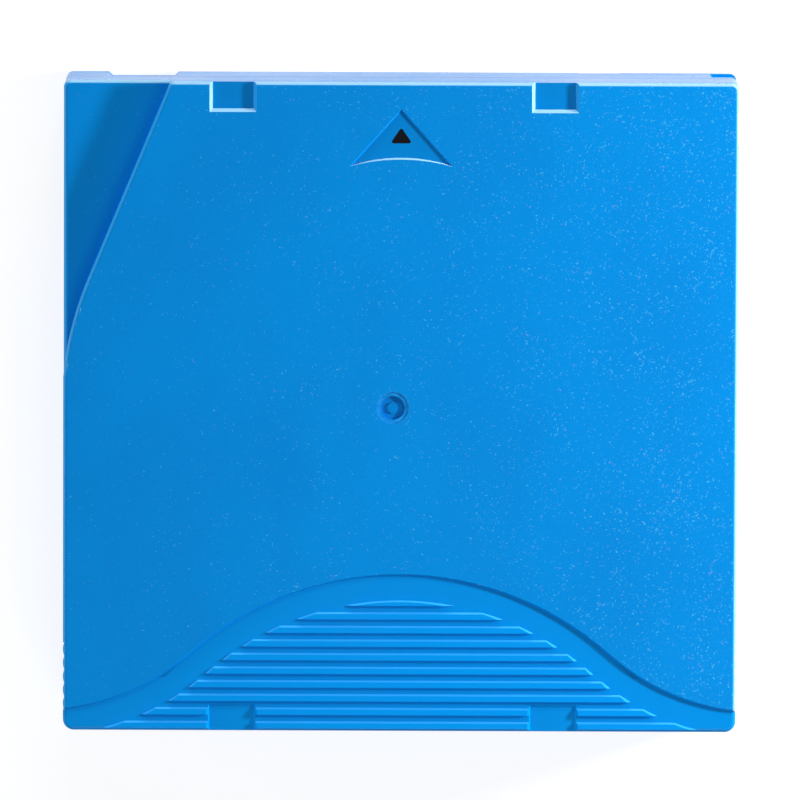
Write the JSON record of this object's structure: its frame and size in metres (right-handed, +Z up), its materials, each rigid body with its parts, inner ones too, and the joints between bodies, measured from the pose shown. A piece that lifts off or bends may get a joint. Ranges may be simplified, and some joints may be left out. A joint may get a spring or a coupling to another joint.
{
  "type": "data tape cartridge",
  "caption": "Flat square single-reel data tape cartridge in blue plastic, with a lowered front corner over the tape door and a ribbed finger grip at the rear.",
  "frame": {"origin": "centre of the bottom face, on the surface it lies on", "axes": "+Z up through the top face, +Y the way it goes into a drive, +X to the right of somebody who pushes it in"},
  "size_m": [0.1054, 0.102, 0.0215],
  "materials": {
    "shell_plastic": "fine-grained moulded, satin",
    "reel_plastic": "smooth moulded",
    "brake_plastic": "smooth moulded",
    "release_plastic": "smooth moulded",
    "door_plastic": "smooth moulded",
    "slider_plastic": "smooth moulded",
    "tape": "polished film",
    "steel": "bright drawn or stamped",
    "spring_steel": "bright wire",
    "screw_steel": "zinc plated",
    "clamp_plastic": "smooth",
    "tag_board": "lacquered board",
    "chip": "moulded"
  },
  "bodies": {
    "shell": {"upper_shell": "shell_plastic", "lower_shell": "shell_plastic", "shell_screws": "screw_steel", "memory_tag": "tag_board", "memory_chip": "chip", "leader_pin": "steel", "pin_clamp": "clamp_plastic", "tape_leader": "tape", "pin_spring_lower": "spring_steel", "pin_spring_upper": "spring_steel", "brake_spring": "spring_steel", "door_spring": "spring_steel"},
    "reel": {"reel_hub": "reel_plastic", "upper_flange": "reel_plastic", "tape_pack": "tape", "drive_plate": "steel"},
    "release": {"brake_release": "release_plastic"},
    "brake": {"brake_button": "brake_plastic"},
    "door": {"tape_door": "door_plastic"},
    "slider": {"write_protect_slider": "slider_plastic"}
  },
  "joints": [
    {"name": "reel_spin", "type": "hinge", "parent": "shell", "child": "reel", "pos_m": [-0.00116, 0, 0.009], "axis": [0, 0, 1], "continuous": true, "deforming": ["tape_leader"]},
    {"name": "brake_lift", "type": "slide", "parent": "shell", "child": "brake", "axis": [0, 0, 1], "range_m": [0, 0.0016], "stiffness_N_per_m": 60, "springref_m": -0.001, "deforming": ["brake_spring"]},
    {"name": "release_lift", "type": "slide", "parent": "reel", "child": "release", "axis": [0, 0, 1], "range_m": [0, 0.0016]},
    {"name": "door_slide", "type": "slide", "parent": "shell", "child": "door", "axis": [0, -1, 0], "range_m": [0, 0.0185], "stiffness_N_per_m": 3, "springref_m": -0.006, "deforming": ["door_spring"]},
    {"name": "write_protect_slide", "type": "slide", "parent": "shell", "child": "slider", "axis": [1, 0, 0], "range_m": [0, 0.004]}
  ],
  "couplings": [
    {"joint": "release_lift", "follows": "brake_lift", "ratio": 1}
  ]
}
